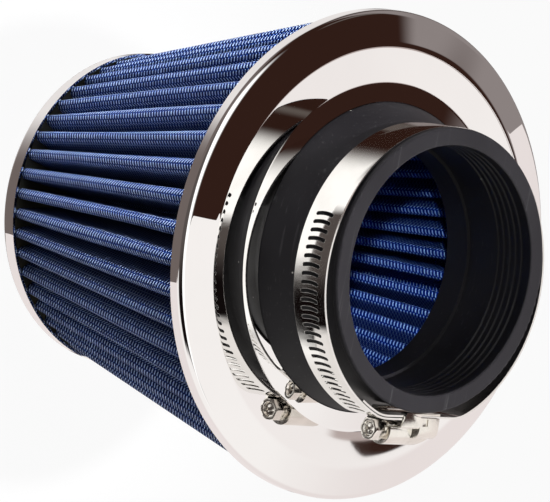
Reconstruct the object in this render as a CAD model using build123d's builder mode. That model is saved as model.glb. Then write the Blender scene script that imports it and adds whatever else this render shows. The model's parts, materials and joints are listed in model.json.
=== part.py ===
"""Cone air filter for a 76 mm air intake, standing on its end cap. Millimetres, +Z along the inlet."""
import os
from math import acos, atan2, cos, degrees, radians, sin, sqrt

from build123d import *

os.makedirs("parts", exist_ok=True)

# End cap, pressed from sheet, with a shallow dish in its outer face
cap_rim_r = 53.1
cap_draft = 0.6
cap_height = 6.4
cap_edge_r = 1.6
cap_foot_ring = 14.5
cap_dish_depth = 1.2
cap_dish_run = 2.4
cap_sheet = 0.8

# Potting resin in the cap
potting_below_rim = 0.5
potting_gap = 0.1

# Pleated media, with the inside radius of its bends at the cap and at the base
pleat_count = 48
pleat_turn = 2.2
pleat_depth = 20.0
media_sheet = 1.2
media_rim_gap = 0.4
crest_bend_small = 0.55
crest_bend_large = 1.15
root_bend_small = 0.25
root_bend_large = 0.5

# Inlet neck, in one piece with the base under the cover
bore_r = 38.1
bore_stop_step = 1.1
bore_stop_rise = 5.0
neck_wall = 4.7
neck_flare = 5.5
neck_length = 31.8
neck_taper_gap = 1.4
neck_taper_blend = 14.0
lip_bead = 0.7
lip_bead_length = 1.6
lip_edge_r = 0.6
groove_count = 5
groove_first = 4.0
groove_pitch = 2.5
groove_depth = 0.5

# Flange cover, pressed from sheet: from the neck hole down to a valley, up to a crest, down to the rim
cover_z = 120.5
cover_hole_rise = 2.5
cover_throat_run = 5.8
cover_valley_rise = 1.63
cover_dish_run = 11.8
cover_crest_rise = 2.25
cover_brim_run = 10.6
cover_rim_depth = 4.6
cover_edge_r = 2.0
cover_crest_blend = 8.0
cover_valley_blend = 4.0
cover_sheet = 0.8
cover_glue = 0.2
media_in_rim = 0.5

# Clamp band, hanging loose on the neck, flat where it passes through its housing
clamp_turn = 4.3
band_slack = 2.5
band_sheet = 0.65
band_width = 13.7
band_from_mouth = 1.7
band_flat_drop = 2.6
band_bend_r = 14.0
band_lap_gap = 0.25
band_neck_gap = 0.25
band_tongue_angle = 32.0
slot_count = 27
slot_pitch = 2.6
slot_length = 7.4
slot_width = 1.2
slot_bow = 0.35
slot_slant = 6.5
slot_clear_of_housing = 1.4

# Clamp screw
head_band_gap = 0.2
worm_band_gap = 0.2
journal_r = 2.2
tip_r = 1.6
journal_gap = 0.05
thrust_gap = 0.2
head_flats = 6.4
head_length = 3.2
head_from_housing = 1.8
head_bevel = 0.5
head_recess_r = 2.3
head_recess_depth = 0.9
head_slot_width = 1.1
head_slot_depth = 0.9

# Clamp housing, stamped: a barrel over the screw on two shoulders, legs with lips folded under the band,
# and a deeper tail whose end is crimped on the screw's tip
housing_length = 17.0
housing_sheet = 0.7
housing_gap = 0.2
housing_lip = 2.0
housing_shoulder = 2.3
housing_bend_r = 1.0
housing_end_wall = 1.2
leg_start = 1.0
leg_slant = 2.0
tail_length = 8.0
tail_drop = 2.8
tail_corner_r = 3.0
housing_crimp = 4.5
housing_crimp_drop = 3.0
housing_slit = 0.7
housing_window = 2.2
housing_window_depth = 0.5
housing_window_from_slit = 0.4

# Stations that follow from the sizes above
cap_foot_r = cap_rim_r - cap_draft
cap_dish_r = cap_foot_r - cap_foot_ring
neck_r = bore_r + neck_wall
neck_root_r = neck_r + neck_flare
cover_valley_r = neck_root_r + cover_throat_run
cover_crest_r = cover_valley_r + cover_dish_run
cover_r = cover_crest_r + cover_brim_run
potting_top = cap_height - potting_below_rim
media_top = cover_z - cover_rim_depth + media_in_rim
mouth_z = cover_z + neck_length
band_mid_z = mouth_z - band_from_mouth - band_width / 2
neck_taper_z = band_mid_z - band_width / 2 - neck_taper_gap
band_r = neck_r + band_neck_gap + band_slack + band_sheet / 2
band_lap = band_sheet + band_lap_gap
flat_outer = band_r - band_flat_drop
flat_inner = flat_outer - band_lap
band_outer_face = band_slack + flat_outer + band_sheet / 2
band_inner_face = band_slack + flat_inner - band_sheet / 2
screw_standoff = head_flats / sqrt(3) + head_band_gap
worm_r = screw_standoff - worm_band_gap
screw_x = band_outer_face + screw_standoff
screw_head_y = -(housing_length / 2 + head_from_housing)
chamber_from = -(housing_length / 2 - housing_end_wall)
chamber_to = housing_length / 2 - housing_crimp


def pleat_fold(crest_r, crest_bend, root_bend):
    """Outline of one pleat of the folded sheet: a round crest and a round root joined by tangent flanks."""
    half_turn = 180 / pleat_count
    crest_centre = Vector(crest_r - crest_bend, 0)
    root_centre = Vector(crest_r - pleat_depth + root_bend, 0).rotate(Axis.Z, half_turn)
    reach = root_centre - crest_centre
    lean = degrees(atan2(reach.Y, reach.X) - acos((crest_bend + root_bend) / reach.length))
    with BuildLine(mode=Mode.PRIVATE) as fold:
        crest = CenterArc(crest_centre, crest_bend, -lean, 2 * lean)
        root = CenterArc(root_centre, root_bend, 180 + lean, 2 * (half_turn - lean))
        Line(crest @ 1, root @ 0)
        Line(root @ 1, (crest @ 0).rotate(Axis.Z, 2 * half_turn))
    return fold.line


# Pleated media: the sheet's outer skin lofted from the cap to the base, less its inner skin
crest_small = cap_rim_r - cap_sheet - media_rim_gap
crest_large = cover_r - cover_sheet - media_rim_gap
with BuildPart() as pleated_media:
    for inset, skin_mode in ((0, Mode.ADD), (media_sheet, Mode.SUBTRACT)):
        outset = media_sheet - inset
        fold_small = pleat_fold(crest_small - inset, crest_bend_small + outset, root_bend_small + inset)
        fold_large = pleat_fold(crest_large - inset, crest_bend_large + outset, root_bend_large + inset)
        for fold, station in ((fold_small, potting_top), (fold_large, media_top)):
            with BuildSketch(Plane.XY.offset(station)):
                with PolarLocations(0, pleat_count, start_angle=pleat_turn):
                    add(fold)
                make_face()
        loft(ruled=True, mode=skin_mode)
pleated_media.part.label = "pleated_media"
export_step(pleated_media.part, "parts/pleated_media.step")

# Neck moulding: base under the cover, tapered neck, beaded mouth, bore with a pipe stop and ring grooves
under_cover = cover_sheet + cover_glue
base_r = cover_r - under_cover
with BuildPart() as neck_moulding:
    with BuildSketch(Plane.XZ):
        with BuildLine():
            stop_r = bore_r - bore_stop_step
            stop_z = cover_z + bore_stop_rise
            bore_foot = (stop_r, media_top)
            outside = Polyline(
                bore_foot,
                (base_r, media_top),
                (base_r, cover_z - cover_edge_r - under_cover),
                (base_r - cover_edge_r, cover_z - under_cover),
                (cover_crest_r, cover_z + cover_crest_rise - under_cover),
                (cover_valley_r, cover_z + cover_valley_rise - under_cover),
                (neck_root_r, cover_z + cover_hole_rise - under_cover),
                (neck_root_r, cover_z + cover_hole_rise),
            )
            FilletPolyline(
                outside @ 1,
                (neck_r, neck_taper_z),
                (neck_r, mouth_z - lip_bead_length),
                radius=neck_taper_blend,
            )
            Polyline(
                (neck_r, mouth_z - lip_bead_length),
                (neck_r + lip_bead, mouth_z - lip_bead_length),
                (neck_r + lip_bead, mouth_z),
                (bore_r, mouth_z),
                (bore_r, stop_z),
                (stop_r, stop_z),
                bore_foot,
            )
        make_face()
        for ring in range(groove_count):
            with Locations((bore_r, mouth_z - groove_first - ring * groove_pitch)):
                RegularPolygon(groove_depth, 4, mode=Mode.SUBTRACT)
    revolve(axis=Axis.Z)
    fillet(neck_moulding.edges().group_by(Axis.Z)[-1], lip_edge_r)
neck_moulding.part.label = "neck_moulding"
export_step(neck_moulding.part, "parts/neck_moulding.step")

# Flange cover: one sheet profile, turned about the axis
with BuildPart() as flange_cover:
    with BuildSketch(Plane.XZ):
        with BuildLine():
            FilletPolyline(
                (cover_r, cover_z - cover_rim_depth),
                (cover_r, cover_z),
                (cover_crest_r, cover_z + cover_crest_rise),
                (cover_valley_r, cover_z + cover_valley_rise),
                (neck_root_r + cover_glue, cover_z + cover_hole_rise),
                radius=[cover_edge_r, cover_crest_blend, cover_valley_blend],
            )
            offset(amount=cover_sheet, side=Side.LEFT)
        make_face()
    revolve(axis=Axis.Z)
flange_cover.part.label = "flange_cover"
export_step(flange_cover.part, "parts/flange_cover.step")

# End cap: a pressed cup, its dished face outwards
with BuildPart() as end_cap:
    with BuildSketch(Plane.XZ):
        with BuildLine():
            FilletPolyline(
                (cap_rim_r, cap_height),
                (cap_foot_r, 0),
                (cap_dish_r, 0),
                (cap_dish_r - cap_dish_run, cap_dish_depth),
                (0, cap_dish_depth),
                radius=cap_edge_r,
            )
            offset(amount=cap_sheet, side=Side.RIGHT)
        make_face()
    revolve(axis=Axis.Z)
end_cap.part.label = "end_cap"
export_step(end_cap.part, "parts/end_cap.step")

# Potting resin: fills the cap up to just under its rim
with BuildPart() as cap_potting:
    with BuildSketch(Plane.XZ):
        with BuildLine():
            floor = cap_sheet + potting_gap
            wall = cap_foot_r - cap_sheet - potting_gap
            Polyline(
                (0, potting_top),
                (wall, potting_top),
                (wall, floor + cap_edge_r),
                (wall - cap_edge_r, floor),
                (cap_dish_r, floor),
                (cap_dish_r - cap_dish_run, cap_dish_depth + floor),
                (0, cap_dish_depth + floor),
                close=True,
            )
        make_face()
    revolve(axis=Axis.Z)
cap_potting.part.label = "cap_potting"
export_step(cap_potting.part, "parts/cap_potting.step")


def bend_half_length(flat):
    """Half length of a flat at this distance from the band's centre, up to its bend into the ring."""
    return sqrt((band_r - band_bend_r) ** 2 - (flat - band_bend_r) ** 2)


# Clamp band: one strip from the tongue under the housing, round the neck and back over itself
entry_half = bend_half_length(flat_outer)
exit_half = bend_half_length(flat_inner)
entry_angle = degrees(atan2(entry_half, flat_outer - band_bend_r))
exit_angle = degrees(atan2(exit_half, flat_inner - band_bend_r))
ring_plane = Plane(origin=(band_slack, 0, band_mid_z))
with BuildPart() as clamp_band:
    with BuildLine(ring_plane) as strip:
        CenterArc((0, 0), band_r - band_lap, -band_tongue_angle, band_tongue_angle - entry_angle)
        CenterArc((flat_outer - band_bend_r, -entry_half), band_bend_r - band_lap, -entry_angle, entry_angle)
        Line((flat_inner, -entry_half), (flat_inner, exit_half))
        CenterArc((flat_inner - band_bend_r, exit_half), band_bend_r, 0, exit_angle)
        CenterArc((0, 0), band_r, exit_angle, 360 - exit_angle - entry_angle)
        CenterArc((flat_outer - band_bend_r, -entry_half), band_bend_r, -entry_angle, entry_angle)
        Line((flat_outer, -entry_half), (flat_outer, chamber_to))
    with BuildSketch(Plane(origin=strip.line @ 0, x_dir=(0, 0, 1), z_dir=strip.line % 0)):
        Rectangle(band_width, band_sheet)
    sweep()
    slot_step = degrees(slot_pitch / band_r)
    first_slot = entry_angle + degrees(slot_clear_of_housing / band_r)
    for slot in range(slot_count):
        turn = -radians(first_slot + slot * slot_step)
        outward = Vector(cos(turn), sin(turn), 0)
        at = ring_plane.origin + outward * (band_r + band_sheet)
        with BuildSketch(Plane(origin=at, x_dir=(0, 0, 1), z_dir=outward).rotated((0, 0, slot_slant))):
            with BuildLine():
                reach = (slot_length - slot_width) / 2
                bow = ThreePointArc((-reach, 0), (0, slot_bow), (reach, 0))
            SlotArc(bow, slot_width)
        extrude(amount=-2 * band_sheet, mode=Mode.SUBTRACT)
clamp_band.part.label = "clamp_band"
export_step(clamp_band.part.rotate(Axis.Z, clamp_turn), "parts/clamp_band.step")

# Clamp housing: its outline along its length, less the room for the band, the worm and the screw's ends
tunnel_low = band_inner_face - housing_gap
tunnel_high = band_outer_face + housing_gap
tunnel_width = band_width + 2 * housing_gap
housing_low = tunnel_low - housing_sheet
housing_width = tunnel_width + 2 * housing_sheet
shoulder_high = tunnel_high + housing_shoulder
chamber_r = worm_r + housing_gap
barrel_r = chamber_r + housing_sheet
barrel_high = screw_x + barrel_r
tail_high = barrel_high - tail_drop
tail_from = housing_length / 2 - tail_length
near_end = -housing_length / 2
with BuildPart() as clamp_housing:
    with BuildSketch(Plane.XZ):
        with Locations((screw_x, band_mid_z)):
            Circle(barrel_r)
        with Locations(((housing_low + screw_x) / 2, band_mid_z)):
            Rectangle(screw_x - housing_low, 2 * barrel_r)
        with Locations(((housing_low + shoulder_high) / 2, band_mid_z)):
            base = Rectangle(shoulder_high - housing_low, housing_width)
        fillet(base.vertices().group_by(Axis.X)[-1], housing_bend_r)
    extrude(amount=housing_length / 2, both=True)
    with BuildSketch(Plane.XZ.offset(-tail_from)):
        with Locations(((housing_low + tail_high) / 2, band_mid_z)):
            tail = Rectangle(tail_high - housing_low, housing_width)
        fillet(tail.vertices().group_by(Axis.X)[-1], tail_corner_r)
    extrude(amount=-tail_length)
    with BuildSketch(Plane.XZ):
        with Locations(((tunnel_low + tunnel_high) / 2, band_mid_z)):
            Rectangle(tunnel_high - tunnel_low, tunnel_width)
        with Locations(((housing_low + tunnel_low) / 2, band_mid_z)):
            Rectangle(housing_sheet, tunnel_width - 2 * housing_lip)
    extrude(amount=housing_length, both=True, mode=Mode.SUBTRACT)
    with BuildSketch(Plane.XZ.offset(-chamber_to)):
        with Locations((screw_x, band_mid_z)):
            Circle(chamber_r)
        with Locations(((tunnel_high + screw_x) / 2, band_mid_z)):
            Rectangle(screw_x - tunnel_high, 2 * chamber_r)
        with Locations(((tunnel_high + shoulder_high - housing_sheet) / 2, band_mid_z)):
            Rectangle(shoulder_high - housing_sheet - tunnel_high, tunnel_width)
    extrude(amount=chamber_to - chamber_from, mode=Mode.SUBTRACT)
    for bearing_r, bearing_length in ((journal_r, housing_length / 2), (tip_r, -housing_length / 2)):
        with BuildSketch(Plane.XZ):
            with Locations((screw_x, band_mid_z)):
                Circle(bearing_r + journal_gap)
        extrude(amount=bearing_length, mode=Mode.SUBTRACT)
    with BuildSketch(Plane.XY.offset(band_mid_z)):
        crimp_from = housing_length / 2 - housing_crimp + housing_sheet
        with BuildLine():
            Polyline(
                (barrel_high, crimp_from),
                (barrel_high, housing_length / 2),
                (barrel_high - housing_crimp_drop, housing_length / 2),
                close=True,
            )
        make_face()
        with BuildLine():
            Polyline(
                (shoulder_high, near_end),
                (shoulder_high, near_end + leg_start),
                (housing_low, near_end + leg_start + leg_slant),
                (housing_low, near_end),
                close=True,
            )
        make_face()
        with Locations((tunnel_low + housing_slit / 2, (tail_from + housing_length) / 2)):
            Rectangle(housing_slit, housing_length - tail_from)
    extrude(amount=housing_width, both=True, mode=Mode.SUBTRACT)
    window_low = tunnel_low + housing_slit + housing_window_from_slit
    with BuildSketch(Plane.XY.offset(band_mid_z + housing_width / 2)):
        with Locations((window_low + housing_window / 2, tail_from + housing_window)):
            Rectangle(housing_window, housing_window)
    extrude(amount=-housing_window_depth, mode=Mode.SUBTRACT)
clamp_housing.part.label = "clamp_housing"
export_step(clamp_housing.part.rotate(Axis.Z, clamp_turn), "parts/clamp_housing.step")

# Clamp screw: hex head, journal in the near wall, worm in the chamber, tip in the crimped end
head_plane = Plane(origin=(screw_x, screw_head_y, band_mid_z), x_dir=(0, 0, 1), z_dir=(0, -1, 0))
with BuildPart() as clamp_screw:
    with BuildSketch(head_plane):
        RegularPolygon(head_flats / 2, 6, major_radius=False)
    extrude(amount=head_length)
    chamfer(clamp_screw.faces().sort_by(Axis.Y)[0].edges(), head_bevel)
    with BuildSketch(head_plane.offset(head_length)):
        Circle(head_recess_r)
    extrude(amount=-head_recess_depth, mode=Mode.SUBTRACT)
    with BuildSketch(head_plane.offset(head_length - head_recess_depth)):
        Rectangle(2 * head_recess_r - head_slot_width, head_slot_width)
    extrude(amount=-head_slot_depth, mode=Mode.SUBTRACT)
    with BuildSketch(head_plane):
        Circle(journal_r)
    extrude(amount=screw_head_y - chamber_from - thrust_gap)
    with BuildSketch(head_plane.offset(screw_head_y - chamber_from - thrust_gap)):
        Circle(worm_r)
    extrude(amount=chamber_from - chamber_to + 2 * thrust_gap)
    with BuildSketch(head_plane.offset(screw_head_y - chamber_to + thrust_gap)):
        Circle(tip_r)
    extrude(amount=chamber_to - thrust_gap - housing_length / 2)
clamp_screw.part.label = "clamp_screw"
export_step(clamp_screw.part.rotate(Axis.Z, clamp_turn), "parts/clamp_screw.step")
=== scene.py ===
import json
from math import acos, atan2, cos, pi, radians, sin, sqrt, tan

import bpy
from mathutils import Matrix, Vector


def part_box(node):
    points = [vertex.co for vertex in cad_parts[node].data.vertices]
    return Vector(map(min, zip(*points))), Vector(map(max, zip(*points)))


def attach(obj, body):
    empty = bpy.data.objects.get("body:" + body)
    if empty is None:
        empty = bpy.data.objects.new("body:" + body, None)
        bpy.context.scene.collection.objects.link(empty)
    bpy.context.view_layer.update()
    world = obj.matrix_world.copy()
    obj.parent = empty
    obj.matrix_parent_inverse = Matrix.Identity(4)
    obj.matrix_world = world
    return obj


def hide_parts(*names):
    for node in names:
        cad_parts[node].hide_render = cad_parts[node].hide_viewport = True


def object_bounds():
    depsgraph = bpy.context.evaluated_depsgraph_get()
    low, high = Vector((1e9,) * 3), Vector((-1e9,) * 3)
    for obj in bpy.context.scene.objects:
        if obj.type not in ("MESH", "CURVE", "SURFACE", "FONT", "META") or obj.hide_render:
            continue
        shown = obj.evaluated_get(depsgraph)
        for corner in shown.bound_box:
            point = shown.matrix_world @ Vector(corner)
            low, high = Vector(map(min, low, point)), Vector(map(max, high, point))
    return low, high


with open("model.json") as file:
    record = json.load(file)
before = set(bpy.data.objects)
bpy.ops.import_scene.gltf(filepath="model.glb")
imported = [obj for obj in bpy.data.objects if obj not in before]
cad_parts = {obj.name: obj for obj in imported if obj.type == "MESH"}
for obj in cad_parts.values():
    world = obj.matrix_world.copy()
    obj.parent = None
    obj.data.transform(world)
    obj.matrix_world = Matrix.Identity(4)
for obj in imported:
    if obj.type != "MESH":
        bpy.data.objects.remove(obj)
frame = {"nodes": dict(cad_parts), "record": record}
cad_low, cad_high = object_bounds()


# End cap: a shallow cup pressed from steel sheet and chrome plated, its face dished. The pleats stand
# in it in cast resin. The solid has its shape, so here it only gets its plating.
mm = 0.001
nodes = frame["nodes"]
plate_clean, plate_smudged, plate_dust = (0.91, 0.895, 0.885), (0.885, 0.87, 0.86), (0.55, 0.53, 0.51)
plate_roughness = 0.004, 0.020
plate_wave = 0.3 * mm
hairline_share = 0.35
wipe_turn, wipe_stretch = (0.3, 0.9, 0.5), (0.5, 30, 30)
speck_edge = 0.13, 0.07


def feed(tree, value, socket):
    """Set a socket to a number or a colour, or join it to another socket."""
    if isinstance(value, bpy.types.NodeSocket):
        tree.links.new(value, socket)
    elif isinstance(value, tuple):
        socket.default_value = (*value, 1)
    else:
        socket.default_value = value


def new_finish(name):
    """A material, with its node tree, its Principled shader and its coordinates."""
    material = bpy.data.materials.new(name)
    material.use_nodes = True
    tree = material.node_tree
    place = tree.nodes.new("ShaderNodeTexCoord").outputs
    return material, tree, tree.nodes["Principled BSDF"], place


def cloud(tree, vector, scale, detail):
    """Soft noise around 0.5."""
    node = tree.nodes.new("ShaderNodeTexNoise")
    for socket, value in (("Vector", vector), ("Scale", scale), ("Detail", detail)):
        feed(tree, value, node.inputs[socket])
    return node.outputs["Fac"]


def ease(tree, value, low, high, to_low=0.0, to_high=1.0):
    """value taken smoothly from low..high to to_low..to_high."""
    node = tree.nodes.new("ShaderNodeMapRange")
    node.interpolation_type = "SMOOTHSTEP"
    sockets = "Value", "From Min", "From Max", "To Min", "To Max"
    for socket, number in zip(sockets, (value, low, high, to_low, to_high)):
        feed(tree, number, node.inputs[socket])
    return node.outputs["Result"]


def sums(tree, operation, *values):
    """One step of arithmetic on numbers and sockets."""
    node = tree.nodes.new("ShaderNodeMath")
    node.operation = operation
    for value, socket in zip(values, node.inputs):
        feed(tree, value, socket)
    return node.outputs["Value"]


def tint(tree, mask, first, second):
    """Colour that goes from first to second as mask goes from 0 to 1."""
    node = tree.nodes.new("ShaderNodeMix")
    node.data_type = "RGBA"
    for value, socket in ((mask, "Factor"), (first, 6), (second, 7)):
        feed(tree, value, node.inputs[socket])
    return node.outputs[2]


def relief(tree, height, distance, strength, under=None):
    """Normal of a surface that is raised by height, on top of another normal if one is given."""
    node = tree.nodes.new("ShaderNodeBump")
    for socket, value in (("Height", height), ("Distance", distance), ("Strength", strength)):
        feed(tree, value, node.inputs[socket])
    if under is not None:
        feed(tree, under, node.inputs["Normal"])
    return node.outputs["Normal"]


def coat(tree, shader, colour, roughness, normal):
    """Give a material's shader what changes over the surface."""
    for socket, value in (("Base Color", colour), ("Roughness", roughness), ("Normal", normal)):
        feed(tree, value, shader.inputs[socket])


def dress(node, material):
    """Put a finish on one of the solids."""
    slots = nodes[node].data.materials
    slots.clear()
    slots.append(material)


def new_effect(name, inputs, outputs):
    """A shader node group with these sockets, with what it takes in and what it gives out."""
    group = bpy.data.node_groups.new(name, "ShaderNodeTree")
    for socket, kind in inputs:
        group.interface.new_socket(socket, in_out="INPUT", socket_type=kind)
    for socket in outputs:
        group.interface.new_socket(socket, in_out="OUTPUT", socket_type="NodeSocketFloat")
    return group, group.nodes.new("NodeGroupInput").outputs, group.nodes.new("NodeGroupOutput").inputs


def place_effect(tree, group, position, **values):
    """One use of a group at these coordinates, with its own values."""
    node = tree.nodes.new("ShaderNodeGroup")
    node.node_tree = group
    feed(tree, position, node.inputs["Position"])
    for socket, value in values.items():
        feed(tree, value, node.inputs[socket])
    return node.outputs


# smudges left by hands and cloths, and hairlines from wiping
handling, taken, given = new_effect(
    "handling_marks",
    (("Position", "NodeSocketVector"), ("Scale", "NodeSocketFloat")),
    ("Smudge", "Hairline"),
)
smudge = cloud(handling, taken["Position"], taken["Scale"], 5)
feed(handling, ease(handling, smudge, 0.35, 0.7), given["Smudge"])
wipe = handling.nodes.new("ShaderNodeMapping")
wipe.inputs["Rotation"].default_value = wipe_turn
wipe.inputs["Scale"].default_value = wipe_stretch
feed(handling, taken["Position"], wipe.inputs["Vector"])
hairline = cloud(handling, wipe.outputs["Vector"], taken["Scale"], 2)
feed(handling, ease(handling, hairline, 0.62, 0.72), given["Hairline"])

# round specks in a few of the cells of a scattered grid
dust, taken, given = new_effect(
    "dust_specks",
    (("Position", "NodeSocketVector"), ("Scale", "NodeSocketFloat"), ("Share", "NodeSocketFloat")),
    ("Speck",),
)
cells = dust.nodes.new("ShaderNodeTexVoronoi")
feed(dust, taken["Position"], cells.inputs["Vector"])
feed(dust, taken["Scale"], cells.inputs["Scale"])
draw = dust.nodes.new("ShaderNodeSeparateColor")
feed(dust, cells.outputs["Color"], draw.inputs["Color"])
dusty_cell = sums(dust, "LESS_THAN", draw.outputs["Red"], taken["Share"])
speck = ease(dust, cells.outputs["Distance"], *speck_edge)
feed(dust, sums(dust, "MULTIPLY", speck, dusty_cell), given["Speck"])

chrome, tree, shader, place = new_finish("chrome_plate")
shader.inputs["Metallic"].default_value = 1
marks = place_effect(tree, handling, place["Object"], Scale=22)
specks = place_effect(tree, dust, place["Object"], Scale=260, Share=0.02)
plating = tint(tree, marks["Smudge"], plate_clean, plate_smudged)
wiped = sums(tree, "MULTIPLY_ADD", marks["Hairline"], hairline_share, marks["Smudge"])
coat(
    tree, shader,
    colour=tint(tree, specks["Speck"], plating, plate_dust),
    roughness=ease(tree, wiped, 0.0, 1 + hairline_share, *plate_roughness),
    normal=relief(tree, cloud(tree, place["Object"], 26, 1), plate_wave, 0.015),
)
dress("end_cap", chrome)


# Potting: polyurethane resin cast into the cap around the pleat ends. It shows between the crests as
# a dull olive floor, with the slightly uneven surface of a pour.
resin_dark, resin_light, resin_dust = (0.065, 0.060, 0.040), (0.130, 0.118, 0.075), (0.20, 0.19, 0.17)
resin_roughness = 0.35, 0.6
pour_rise = 0.6 * mm
cloud_low, cloud_high = 0.3, 0.7
potting, tree, shader, place = new_finish("potting_resin")
pour = cloud(tree, place["Object"], 90, 4)
specks = place_effect(tree, dust, place["Object"], Scale=420, Share=0.03)
resin = tint(tree, ease(tree, pour, cloud_low, cloud_high), resin_dark, resin_light)
coat(
    tree, shader,
    colour=tint(tree, specks["Speck"], resin, resin_dust),
    roughness=ease(tree, pour, cloud_low, cloud_high, *resin_roughness),
    normal=relief(tree, pour, pour_rise, 0.4),
)
dress("cap_potting", potting)


# Pleated media: cotton between two coated wire screens, folded into 48 pleats that widen from the cap
# to the base. The flat sheet is a grid with its own UV map, folded here along the solid's line.
pleat_count = 48
pleat_turn = radians(2.2)
pleat_depth = 20.0 * mm
sheet = 1.2 * mm
crest_small, crest_bend_small, root_bend_small = 51.9 * mm, 0.55 * mm, 0.25 * mm
crest_large, crest_bend_large, root_bend_large = 75.3 * mm, 1.15 * mm, 0.5 * mm
crest_parts, flank_parts, root_parts = 10, 8, 6
rows = 10
wander_long, long_step = radians(0.22), 2.4
wander_short, short_step, short_waves = radians(0.12), 5.1, 5
seam_weld = 0.01 * mm
bar_lean, bar_fullness = 0.45, 1.3
wire_rise = 0.45 * mm
media_low, media_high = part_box("pleated_media")


def fold_line(crest_r, crest_bend, root_bend):
    """Points of one pleat at the middle of the sheet, from half a crest over a root to half a crest."""
    middle = sheet / 2
    crest_bend, root_bend = crest_bend + middle, root_bend + middle
    half_turn = pi / pleat_count
    axis = Vector((cos(half_turn), sin(half_turn)))
    crest_at = Vector((crest_r - middle - crest_bend, 0))
    root_at = Matrix.Rotation(half_turn, 2) @ Vector((crest_r - middle - pleat_depth + root_bend, 0))
    reach = root_at - crest_at
    lean = atan2(reach.y, reach.x) - acos((crest_bend + root_bend) / reach.length)
    half = []
    for step in range(crest_parts // 2 + 1):
        turn = lean * step / (crest_parts // 2)
        half.append(crest_at + crest_bend * Vector((cos(turn), sin(turn))))
    flank_start = half[-1]
    root_start = root_at - root_bend * Vector((cos(lean), sin(lean)))
    half += [flank_start.lerp(root_start, step / flank_parts) for step in range(1, flank_parts + 1)]
    for step in range(1, root_parts // 2 + 1):
        turn = lean + (half_turn - lean) * step / (root_parts // 2)
        half.append(root_at - root_bend * Vector((cos(turn), sin(turn))))
    return half + [2 * point.dot(axis) * axis - point for point in reversed(half[:-1])]


fold_small = fold_line(crest_small, crest_bend_small, root_bend_small)
fold_large = fold_line(crest_large, crest_bend_large, root_bend_large)
fold_parts = len(fold_large) - 1
along = [0.0]
for a, b in zip(fold_large, fold_large[1:]):
    along.append(along[-1] + (b - a).length)
pleat_length = along[-1]
media_height = media_high.z - media_low.z
slant_height = sqrt(media_height ** 2 + (crest_large - crest_small) ** 2)
columns = pleat_count * fold_parts


def sheet_place(corner):
    """The pleat, the point of its line and the share of its height that a corner of the flat grid is at."""
    pleat, part = divmod(round((corner.x + 1) / 2 * columns), fold_parts)
    return pleat, part, (corner.y + 1) / 2


bpy.ops.object.select_all(action="DESELECT")
bpy.ops.mesh.primitive_grid_add(x_subdivisions=columns, y_subdivisions=rows, size=2, calc_uvs=True)
media = bpy.context.object
media.name = "screen_pleats"
cut_sheet = media.data.uv_layers.active.data
for loop in media.data.loops:
    pleat, part, up = sheet_place(media.data.vertices[loop.vertex_index].co)
    cut_sheet[loop.index].uv = (pleat * pleat_length + along[part], up * slant_height)
for vertex in media.data.vertices:
    pleat, part, up = sheet_place(vertex.co)
    own = pleat % pleat_count
    wander = wander_long * sin(own * long_step) * sin(pi * up)
    wander += wander_short * sin(own * short_step + short_waves * up)
    turn = Matrix.Rotation(pleat_turn + 2 * pi * pleat / pleat_count + wander, 2)
    at = turn @ fold_small[part].lerp(fold_large[part], up)
    vertex.co = (at.x, at.y, media_low.z + up * media_height)
bpy.ops.object.mode_set(mode="EDIT")
bpy.ops.mesh.select_all(action="SELECT")
bpy.ops.mesh.remove_doubles(threshold=seam_weld)
bpy.ops.mesh.normals_make_consistent(inside=False)
bpy.ops.object.mode_set(mode="OBJECT")
bpy.ops.object.shade_smooth()

# woven wire: wires across the pleat lie over one row of wires along it and under the next, so that each
# row shows every other one as a short bar, and the bars of neighbouring rows lean opposite ways
weave, taken, given = new_effect(
    "wire_weave",
    (("Position", "NodeSocketVector"), ("Bar pitch", "NodeSocketFloat"),
     ("Row pitch", "NodeSocketFloat"), ("Row shift", "NodeSocketFloat")),
    ("Height",),
)
split = weave.nodes.new("ShaderNodeSeparateXYZ")
feed(weave, taken["Position"], split.inputs["Vector"])
across_pleat = sums(weave, "DIVIDE", split.outputs["X"], taken["Row pitch"])
across_pleat = sums(weave, "ADD", across_pleat, taken["Row shift"])
up_pleat = sums(weave, "DIVIDE", split.outputs["Y"], taken["Bar pitch"])
row = sums(weave, "ROUND", across_pleat)
from_row = sums(weave, "SUBTRACT", across_pleat, row)
lean = sums(weave, "MULTIPLY", sums(weave, "COSINE", sums(weave, "MULTIPLY", row, pi)), bar_lean)
leaning = sums(weave, "MULTIPLY_ADD", from_row, lean, up_pleat)
bar_phase = sums(weave, "MULTIPLY", sums(weave, "MULTIPLY_ADD", row, 0.5, leaning), 2 * pi)
bars = sums(weave, "MULTIPLY_ADD", sums(weave, "COSINE", bar_phase), 0.5, 0.5)
bars = sums(weave, "POWER", bars, bar_fullness)
arch = sums(weave, "ABSOLUTE", sums(weave, "COSINE", sums(weave, "MULTIPLY", across_pleat, pi)))
feed(weave, sums(weave, "MULTIPLY", bars, ease(weave, arch, 0.0, 0.55, 0.35, 1.0)), given["Height"])


def even_pitch(about):
    """The row pitch nearest to half of about that fits an even number of rows on a pleat."""
    return pleat_length / (2 * round(pleat_length / about))


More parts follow.
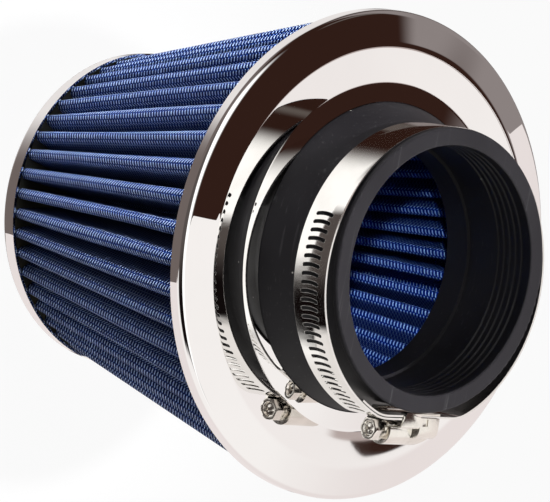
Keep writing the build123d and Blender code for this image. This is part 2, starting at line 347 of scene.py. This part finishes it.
def screen_finish(name, bar_pitch, row_pitch, row_shift, fold_at, fold_shade_range, painted_fold_shade, painted_gap_shade, dull, clean, painted_highlight):
    """Blue epoxy on a woven screen with worn wires, painted shade in its gaps and away from its folds, and a
    painted highlight on its wire tops.
    """
    material, tree, shader, place = new_finish(name)
    shader.inputs["Specular IOR Level"].default_value = 0.24
    pitches = {"Bar pitch": bar_pitch, "Row pitch": row_pitch, "Row shift": row_shift}
    height = place_effect(tree, weave, place["UV"], **pitches)["Height"]
    worn = ease(tree, cloud(tree, place["Object"], 140, 4), cloud_low, cloud_high)
    # painted highlight: the highest parts of the wires take a pale highlight colour
    wire = tint(tree, ease(tree, height, 0.55, 1.0), tint(tree, worn, dull, clean), painted_highlight)
    # painted shade: the low parts between wires take a near-black colour
    screen = tint(tree, ease(tree, height, 0.08, 0.55), painted_gap_shade, wire)
    # painted shade: the colour darkens to the fold shade colour away from the fold at fold_at
    on_sheet = tree.nodes.new("ShaderNodeSeparateXYZ")
    feed(tree, place["UV"], on_sheet.inputs["Vector"])
    from_fold = sums(tree, "SUBTRACT", on_sheet.outputs["X"], fold_at)
    from_fold = sums(tree, "MULTIPLY", from_fold, 2 * pi / pleat_length)
    fold_shade_mask = ease(tree, sums(tree, "COSINE", from_fold), *fold_shade_range)
    coat(
        tree, shader,
        colour=tint(tree, fold_shade_mask, screen, painted_fold_shade),
        roughness=ease(tree, height, 0.2, 0.9, 0.75, 0.45),
        normal=relief(tree, height, wire_rise, 0.8),
    )
    return material


# for both screens, the gap and fold shade colours are painted shade and the top wire colour is a painted
# highlight
media.data.materials.append(screen_finish(
    "blue_outer_screen",
    bar_pitch=1.65 * mm, row_pitch=even_pitch(3.0 * mm), row_shift=0.5,
    fold_at=0.0, fold_shade_range=(0.94, 0.6, 0.0, 0.6), painted_fold_shade=(0.001, 0.006, 0.060),
    painted_gap_shade=(0.001, 0.006, 0.050), dull=(0.018, 0.086, 0.46), clean=(0.028, 0.122, 0.57),
    painted_highlight=(0.58, 0.72, 0.90),
))
media.data.materials.append(screen_finish(
    "blue_inner_screen",
    bar_pitch=1.32 * mm, row_pitch=even_pitch(2.7 * mm), row_shift=0.0,
    fold_at=pleat_length / 2, fold_shade_range=(0.993, 0.975, 0.0, 0.6), painted_fold_shade=(0.002, 0.014, 0.16),
    painted_gap_shade=(0.0006, 0.009, 0.14), dull=(0.010, 0.062, 0.42), clean=(0.015, 0.080, 0.50),
    painted_highlight=(0.35, 0.56, 0.82),
))

# the sheet's thickness, with the second screen on its inside
thicken = media.modifiers.new("sheet", "SOLIDIFY")
thicken.thickness = sheet
thicken.offset = 0
thicken.use_even_offset = False
thicken.material_offset = 1
bpy.ops.object.modifier_apply(modifier="sheet")
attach(media, "filter")
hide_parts("pleated_media")


# Neck moulding: soft black rubber, the base under the cover and the pipe socket in one piece.
# Moulded matt, with a fine grain, a little bloom and dust, and edges rounded by the mould.
rubber_clean, rubber_bloom = (0.0060, 0.0056, 0.0068), (0.0095, 0.0090, 0.0105)
rubber_scuff, rubber_dust = (0.045, 0.044, 0.046), (0.25, 0.24, 0.23)
rubber_roughness = 0.48, 0.60
mould_edge = 0.45 * mm
grain_rise = 0.05 * mm


def soft_edge(tree, radius):
    """Normal of a surface with its edges rounded."""
    node = tree.nodes.new("ShaderNodeBevel")
    node.inputs["Radius"].default_value = radius
    return node.outputs["Normal"]


rubber, tree, shader, place = new_finish("black_rubber")
shader.inputs["Specular IOR Level"].default_value = 0.32
marks = place_effect(tree, handling, place["Object"], Scale=38)
specks = place_effect(tree, dust, place["Object"], Scale=330, Share=0.035)
bloom = tint(tree, marks["Smudge"], rubber_clean, rubber_bloom)
scuffed = tint(tree, sums(tree, "MULTIPLY", marks["Hairline"], hairline_share), bloom, rubber_scuff)
grain = cloud(tree, place["Object"], 2200, 2)
coat(
    tree, shader,
    colour=tint(tree, specks["Speck"], scuffed, rubber_dust),
    roughness=ease(tree, marks["Smudge"], 0.0, 1.0, *rubber_roughness),
    normal=relief(tree, grain, grain_rise, 0.25, under=soft_edge(tree, mould_edge)),
)
dress("neck_moulding", rubber)


# Flange cover: steel sheet pressed into a brim, a dish and a throat around the neck, chrome plated like
# the cap and glued over the base. Its mirror shows every facet, so it is turned finer than the solid.
cover_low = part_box("flange_cover")[0]
rim_r, crest_r, valley_r, hole_r = -cover_low.x, 65.9 * mm, 54.1 * mm, 48.5 * mm
rim_depth, crest_rise, valley_rise, hole_rise = 4.6 * mm, 2.25 * mm, 1.63 * mm, 2.5 * mm
edge_bend, crest_bend, valley_bend = 2.0 * mm, 8.0 * mm, 4.0 * mm
cover_sheet = 0.8 * mm
cover_parts, bend_parts = 192, 14
run_shares = 0.0, 0.04, 0.96
weld = 0.002 * mm


def pressed_line(corners, bends):
    """Points on the outer face of a folded sheet, each with its outward normal."""
    corners = [Vector(corner) for corner in corners]
    runs = [(b - a).normalized() for a, b in zip(corners, corners[1:])]
    faces = [Vector((run.y, -run.x)) for run in runs]
    line, start = [], corners[0]
    for corner, bend, run, out, next_out in zip(corners[1:], bends, runs, faces, faces[1:]):
        turn = acos(out.dot(next_out))
        end = corner - run * bend * tan(turn / 2)
        line += [(start.lerp(end, share), out) for share in run_shares]
        hollow = -1 if out.cross(next_out) < 0 else 1
        centre = end - hollow * bend * out
        for step in range(bend_parts + 1):
            share = step / bend_parts
            facing = (sin((1 - share) * turn) * out + sin(share * turn) * next_out) / sin(turn)
            line.append((centre + hollow * bend * facing, facing))
        start = line.pop()[0]
    return line + [(start.lerp(corners[-1], share), faces[-1]) for share in (*run_shares, 1.0)]


def turned(name, profile, parts, ring=False):
    """A closed shape turned about the upright axis from its profile of radius and height."""
    bpy.ops.object.select_all(action="DESELECT")
    bpy.ops.mesh.primitive_plane_add(size=1)
    piece = bpy.context.object
    piece.name = name
    bpy.ops.object.mode_set(mode="EDIT")
    bpy.ops.mesh.select_all(action="SELECT")
    bpy.ops.mesh.delete(type="VERT")
    bpy.ops.object.mode_set(mode="OBJECT")
    last = len(profile) - 1
    edges = [(i, i + 1) for i in range(last)] + ([(last, 0)] if ring else [])
    piece.data.from_pydata([(r, 0, z) for r, z in profile], edges, [])
    bpy.ops.object.mode_set(mode="EDIT")
    bpy.ops.mesh.select_all(action="SELECT")
    bpy.ops.mesh.spin(steps=parts, angle=2 * pi, center=(0, 0, 0), axis=(0, 0, 1))
    bpy.ops.mesh.select_all(action="SELECT")
    bpy.ops.mesh.remove_doubles(threshold=weld)
    bpy.ops.mesh.normals_make_consistent(inside=False)
    bpy.ops.object.mode_set(mode="OBJECT")
    return piece


brim_z = cover_low.z + rim_depth
outer_face = pressed_line(
    ((rim_r, cover_low.z), (rim_r, brim_z), (crest_r, brim_z + crest_rise),
     (valley_r, brim_z + valley_rise), (hole_r, brim_z + hole_rise)),
    (edge_bend, crest_bend, valley_bend),
)
under_face = [point - cover_sheet * out for point, out in reversed(outer_face)]
cover = turned("pressed_cover", [point for point, out in outer_face] + under_face, cover_parts, ring=True)
bpy.ops.object.shade_smooth_by_angle(angle=radians(40))
cover.data.materials.append(chrome)
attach(cover, "filter")
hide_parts("flange_cover")


# Clamp band: polished stainless strip, punched with curved slots for the screw's worm, its edges
# rounded by tumbling. It hangs loose on the neck and laps over itself under its housing.
steel_clean, steel_smudged = (0.86, 0.845, 0.82), (0.79, 0.775, 0.745)
steel_roughness = 0.035, 0.09
rolled_stretch = 18, 18, 1400
rolled_rise = 0.02 * mm
tumbled_edge = 0.14 * mm
stainless, tree, shader, place = new_finish("polished_stainless")
shader.inputs["Metallic"].default_value = 1
rolled = tree.nodes.new("ShaderNodeMapping")
rolled.inputs["Scale"].default_value = rolled_stretch
feed(tree, place["Object"], rolled.inputs["Vector"])
lines = cloud(tree, rolled.outputs["Vector"], 1.0, 3)
marks = place_effect(tree, handling, place["Object"], Scale=70)
coat(
    tree, shader,
    colour=tint(tree, marks["Smudge"], steel_clean, steel_smudged),
    roughness=ease(tree, sums(tree, "ADD", lines, marks["Smudge"]), 0.4, 1.5, *steel_roughness),
    normal=relief(tree, lines, rolled_rise, 0.03, under=soft_edge(tree, tumbled_edge)),
)
dress("clamp_band", stainless)


# Clamp housing: stamped from stainless sheet, a barrel over the screw with legs folded round the band
# and a tail crimped on the screw's tip. Satin from the press, its edges softened.
satin_clean, satin_smudged = (0.88, 0.85, 0.79), (0.80, 0.77, 0.71)
satin_roughness = 0.15, 0.26
press_rise = 0.12 * mm
housing_edge = 0.15 * mm
flat_within = radians(0.5)


def pick(*pieces):
    """Select these pieces and nothing else, with the first one active."""
    bpy.ops.object.select_all(action="DESELECT")
    for piece in pieces:
        piece.select_set(True)
    bpy.context.view_layer.objects.active = pieces[0]


def round_off(piece, width, parts, sharper_than):
    """Round the edges of the active piece that are sharper than an angle."""
    rounding = piece.modifiers.new("round_off", "BEVEL")
    rounding.width = width
    rounding.segments = parts
    rounding.limit_method = "ANGLE"
    rounding.angle_limit = sharper_than
    bpy.ops.object.modifier_apply(modifier="round_off")


housing = bpy.data.objects.new("housing_stamping", nodes["clamp_housing"].data.copy())
bpy.context.scene.collection.objects.link(housing)
pick(housing)
housing.data.materials.clear()
bpy.ops.mesh.customdata_custom_splitnormals_clear()
bpy.ops.object.mode_set(mode="EDIT")
bpy.ops.mesh.select_all(action="SELECT")
bpy.ops.mesh.remove_doubles(threshold=weld)
bpy.ops.mesh.dissolve_limited(angle_limit=flat_within)
bpy.ops.object.mode_set(mode="OBJECT")
round_off(housing, housing_edge, 3, radians(40))
bpy.ops.object.shade_smooth_by_angle(angle=radians(35))

satin, tree, shader, place = new_finish("satin_stainless")
shader.inputs["Metallic"].default_value = 1
marks = place_effect(tree, handling, place["Object"], Scale=160)
coat(
    tree, shader,
    colour=tint(tree, marks["Smudge"], satin_clean, satin_smudged),
    roughness=ease(tree, marks["Smudge"], 0.0, 1.0, *satin_roughness),
    normal=relief(tree, cloud(tree, place["Object"], 420, 3), press_rise, 0.14),
)
housing.data.materials.append(satin)
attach(housing, "filter")
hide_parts("clamp_housing")


# Clamp screw: turned from stainless bar, a hex head with a domed, slotted recess, a plain journal in the
# housing's wall, a worm under the barrel and a tip in the crimped tail. Made upright, then laid in place.
head_flats, head_back, head_face, hex_length = 6.4 * mm, 10.3 * mm, 13.5 * mm, 20 * mm
bar_r, head_rim_r, head_chamfer, head_edge = 4.2 * mm, 3.25 * mm, 0.55 * mm, 0.1 * mm
recess_rs = 2.4 * mm, 2.3 * mm, 2.05 * mm, 1.8 * mm, 1.2 * mm, 0.6 * mm, 0.0
recess_depths = 0.0, 0.08 * mm, 0.85 * mm, 0.90 * mm, 0.80 * mm, 0.70 * mm, 0.67 * mm
slot_size, slot_middle = (3.4 * mm, 1.0 * mm, 1.6 * mm), head_face - 0.7 * mm
journal_r, core_r, thread_r, tip_r = 2.2 * mm, 2.7 * mm, 3.6 * mm, 1.6 * mm
core_chamfer, tip_chamfer = 0.3 * mm, 0.4 * mm
worm_low, worm_high, tip_end = -3.8 * mm, 7.1 * mm, -8.5 * mm
thread_step, ridge_foot, ridge_top, ridge_sunk = 2.6 * mm, 0.75 * mm, 0.3 * mm, 0.1 * mm
turned_parts, thread_parts = 64, 40


def cut_with(piece, tool, operation):
    """Take a tool's shape out of a piece, or keep only what lies in it."""
    cut = piece.modifiers.new("cut", "BOOLEAN")
    cut.operation = operation
    cut.object = tool
    pick(piece)
    bpy.ops.object.modifier_apply(modifier="cut")
    bpy.data.objects.remove(tool)


head = turned("screw_head", (
    (0, head_back), (bar_r, head_back), (bar_r, head_face - head_chamfer), (head_rim_r, head_face),
    *((r, head_face - depth) for r, depth in zip(recess_rs, recess_depths)),
), turned_parts)
bpy.ops.object.select_all(action="DESELECT")
bpy.ops.mesh.primitive_cylinder_add(
    vertices=6, radius=head_flats / sqrt(3), depth=hex_length,
    location=(0, 0, head_face), rotation=(0, 0, pi / 6),
)
cut_with(head, bpy.context.object, "INTERSECT")
bpy.ops.object.select_all(action="DESELECT")
bpy.ops.mesh.primitive_cube_add(size=1, location=(0, 0, slot_middle), scale=slot_size)
cut_with(head, bpy.context.object, "DIFFERENCE")
round_off(head, head_edge, 2, radians(28))

shank = turned("screw_shank", (
    (0, tip_end), (tip_r - tip_chamfer, tip_end), (tip_r, tip_end + tip_chamfer), (tip_r, worm_low),
    (core_r - core_chamfer, worm_low), (core_r, worm_low + core_chamfer), (core_r, worm_high - core_chamfer),
    (core_r - core_chamfer, worm_high), (journal_r, worm_high), (journal_r, head_back), (0, head_back),
), turned_parts)

# the worm's thread: a trapezoid ridge wound up the core
bpy.ops.object.select_all(action="DESELECT")
bpy.ops.mesh.primitive_plane_add(size=1)
thread_ridge = bpy.context.object
ridge_inner_r = core_r - ridge_sunk
ridge_z = worm_low + ridge_foot + ridge_sunk
ridge_corners = (
    (ridge_inner_r, -ridge_foot), (thread_r, -ridge_top), (ridge_inner_r, ridge_foot), (thread_r, ridge_top),
)
for corner, (r, z) in zip(thread_ridge.data.vertices, ridge_corners):
    corner.co = (r, 0, ridge_z + z)
bpy.ops.object.mode_set(mode="EDIT")
bpy.ops.mesh.select_all(action="SELECT")
bpy.ops.mesh.delete(type="ONLY_FACE")
bpy.ops.object.mode_set(mode="OBJECT")
wind = thread_ridge.modifiers.new("wind", "SCREW")
wind.axis = "Z"
wind.screw_offset = thread_step
wind.iterations = int((worm_high - worm_low - 2 * ridge_foot) / thread_step)
wind.steps = wind.render_steps = thread_parts
bpy.ops.object.modifier_apply(modifier="wind")
bpy.ops.object.mode_set(mode="EDIT")
bpy.ops.mesh.select_all(action="DESELECT")
bpy.ops.mesh.select_mode(type="EDGE")
bpy.ops.mesh.select_non_manifold()
bpy.ops.mesh.edge_face_add()
bpy.ops.mesh.select_all(action="SELECT")
bpy.ops.mesh.normals_make_consistent(inside=False)
bpy.ops.object.mode_set(mode="OBJECT")

joint = frame["record"]["behaviour"]["joints"][0]
out_of_head = -Vector(joint["axis"])
across = Vector((0, 0, 1))
lay = Matrix((across, out_of_head.cross(across), out_of_head)).transposed().to_4x4()
lay.translation = joint["pos_m"]
pick(head, shank, thread_ridge)
bpy.ops.object.join()
screw = bpy.context.object
screw.name = "worm_screw"
screw.matrix_world = lay
bpy.ops.object.transform_apply(location=True, rotation=True, scale=True)
bpy.ops.object.shade_smooth_by_angle(angle=radians(32))
screw.data.materials.clear()
screw.data.materials.append(satin)
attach(screw, "screw")
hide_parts("clamp_screw")


# Studio: the filter stands on a white floor. The surroundings that its chrome mirrors are a white table
# with a dark room beyond its edges, brown to the right and grey to the left, a pale wall behind and a
# soft light by the camera. Directions are given as the photograph shows them: up, right and near.
photo_up = Vector((-0.9808, -0.1413, -0.1350))
photo_right = Vector((-0.1954, 0.7260, 0.6594))
photo_near = Vector((-0.0049, -0.6731, 0.7396))
brown_wall, grey_wall, light_grey, dim_grey = (
    (0.033, 0.014, 0.010), (0.165, 0.135, 0.127), (0.28, 0.245, 0.24), (0.13, 0.11, 0.10),
)
wall_white, patch_beige, soft_white = (0.86, 0.83, 0.82), (0.50, 0.42, 0.40), (1.35, 1.35, 1.34)
table_away, table_near = (0.87, 0.805, 0.795), (0.995, 0.97, 0.955)
front_dim, front_dark = (0.10, 0.085, 0.08), (0.006, 0.004, 0.004)
fill_grey, plain_white, floor_grey = (0.08, 0.08, 0.085), (1.0, 1.0, 1.0), (0.5, 0.5, 0.5)
table_edge = -0.1872, -0.1880
floor_whiteness = 0.95
world = bpy.data.worlds.new("studio")
bpy.context.scene.world = world
world.use_nodes = True
sky = world.node_tree
ray = sky.nodes.new("ShaderNodeTexCoord").outputs["Generated"]
path = sky.nodes.new("ShaderNodeLightPath").outputs


def share_of(direction):
    """How far a ray points along a direction, from -1 to 1."""
    node = sky.nodes.new("ShaderNodeVectorMath")
    node.operation = "DOT_PRODUCT"
    feed(sky, ray, node.inputs[0])
    node.inputs[1].default_value = direction
    return node.outputs["Value"]


def where(*limits):
    """Mask of the directions that pass all these limits, each a value with its low and high end."""
    mask = ease(sky, *limits[0])
    for limit in limits[1:]:
        mask = sums(sky, "MULTIPLY", mask, ease(sky, *limit))
    return mask


height, side, nearness = share_of(photo_up), share_of(photo_right), share_of(photo_near)
to_left = where((side, 0.15, -0.15))
away_right = where((nearness, -0.08, -0.2), (side, 0.3, 0.6))
over_brim = where((nearness, 0.055, -0.005), (height, 0.10, 0.16), (side, 0.3, 0.6))
high_right = where((side, 0.74, 0.80), (height, 0.38, 0.45), (nearness, -0.02, 0.03), (nearness, 0.33, 0.25))
pale_wall = where((nearness, -0.1, -0.3), (height, 0.1, 0.35), (side, -0.88, -0.60), (side, 0.3, 0.1))

# the table's edge stands higher beyond the filter, in two short steps, and again towards the camera and to
# the far right; a pale patch stands on it
edge_rise = ease(sky, nearness, 0.0745, 0.0615, 0, 0.010)
edge_rise = sums(sky, "ADD", edge_rise, ease(sky, nearness, 0.0625, 0.0585, 0, 0.04))
edge_rise = sums(sky, "ADD", edge_rise, ease(sky, nearness, 0.2, 0.45, 0, 0.027))
right_rise = sums(sky, "MULTIPLY", where((nearness, -0.15, -0.28), (side, 0.3, 0.6)), 0.165)
over_table = sums(sky, "SUBTRACT", sums(sky, "SUBTRACT", height, edge_rise), right_rise)
table = tint(sky, where((nearness, -0.2, 0.2)), table_away, table_near)
pale_patch = where(
    (height, -0.1827, -0.1821), (height, -0.10, -0.13), (nearness, 0.055, 0.062), (nearness, 0.10, 0.09),
)

# in front, a dark stretch under the soft light, whose lower edge slopes
in_front = where((nearness, 0.45, 0.6), (height, -0.74, -0.64), (side, 0.7, 0.5))
front_shade = tint(sky, where((height, 0.0, -0.42)), front_dim, front_dark)
over_slope = sums(sky, "MULTIPLY_ADD", side, 2.5, height)
soft_light = where((nearness, 0.45, 0.68), (over_slope, -0.1, 0.22), (side, 0.85, 0.50))

room = tint(sky, to_left, brown_wall, grey_wall)
for mask, colour in (
    (away_right, light_grey),
    (over_brim, light_grey),
    (high_right, dim_grey),
    (pale_wall, wall_white),
    (where((over_table, *table_edge)), table),
    (pale_patch, patch_beige),
    (in_front, front_shade),
    (soft_light, soft_white),
    (path["Is Diffuse Ray"], fill_grey),
    (path["Is Camera Ray"], plain_white),
):
    room = tint(sky, mask, room, colour)
feed(sky, room, sky.nodes["Background"].inputs["Color"])

# the floor: white to the camera but for the filter's shadow, and out of the chrome's way
bpy.ops.object.select_all(action="DESELECT")
bpy.ops.mesh.primitive_plane_add(size=8)
ground = bpy.context.object
ground.name = "floor"
paper = bpy.data.materials.new("white_floor")
paper.use_nodes = True
ground.data.materials.append(paper)
tree = paper.node_tree
path = tree.nodes.new("ShaderNodeLightPath").outputs
shade = tree.nodes.new("ShaderNodeBsdfDiffuse")
feed(tree, floor_grey, shade.inputs["Color"])
white = tree.nodes.new("ShaderNodeEmission").outputs[0]
clear = tree.nodes.new("ShaderNodeBsdfTransparent").outputs[0]


def blend(share, first, second):
    """One shader over another by a share or a mask."""
    node = tree.nodes.new("ShaderNodeMixShader")
    for socket, value in enumerate((share, first, second)):
        feed(tree, value, node.inputs[socket])
    return node.outputs[0]


shade = shade.outputs[0]
seen = blend(path["Is Camera Ray"], shade, blend(floor_whiteness, shade, white))
feed(tree, blend(path["Is Glossy Ray"], seen, clear), tree.nodes["Material Output"].inputs["Surface"])

# lamps: a broad soft key from above, a narrow beam along the camera's line into the bore, a spot on the
# mouth from the right, and a weak soft light from the left
middle, mouth = Vector((0, 0, 80 * mm)), Vector((0, 0, cad_high.z))
bore_aim = mouth - 16 * mm * photo_right


def toward(up, right, near):
    """A direction in the photograph's own terms."""
    return (up * photo_up + right * photo_right + near * photo_near).normalized()


def lamp(name, kind, at, aim, watts, **settings):
    """A lamp that lights the object without showing in its chrome."""
    bpy.ops.object.light_add(type=kind, location=at)
    light = bpy.context.object
    light.name = name
    light.rotation_euler = (at - aim).to_track_quat("Z", "Y").to_euler()
    light.visible_glossy = False
    light.data.energy = watts
    for setting, value in settings.items():
        setattr(light.data, setting, value)


lamp("key_light", "AREA", middle + 1.1 * toward(0.95, -0.15, 0.12), middle, 51, size=0.55)
lamp("bore_light", "SPOT", mouth + 1.3 * toward(0.15, -0.03, 1.0), bore_aim, 76,
     spot_size=radians(3.4), spot_blend=0.5, shadow_soft_size=0.04)
lamp("front_light", "SPOT", mouth + 1.0 * toward(0.0, 1.0, 0.6), mouth, 500,
     spot_size=radians(7), spot_blend=0.4, shadow_soft_size=0.1)
lamp("side_light", "AREA", mouth + 1.1 * toward(-0.05, -0.85, 0.5), mouth, 2.5, size=0.4)

camera = bpy.data.objects.new("camera", bpy.data.cameras.new("camera"))
bpy.context.scene.collection.objects.link(camera)
camera.data.sensor_width = 36
camera.data.lens = 196.4
view = Matrix((photo_right, photo_up, photo_near)).transposed().to_4x4()
view.translation = (-0.5 * mm, -646.5 * mm, 787.1 * mm)
camera.matrix_world = view
bpy.context.scene.camera = camera
bpy.context.scene.view_settings.view_transform = "Standard"
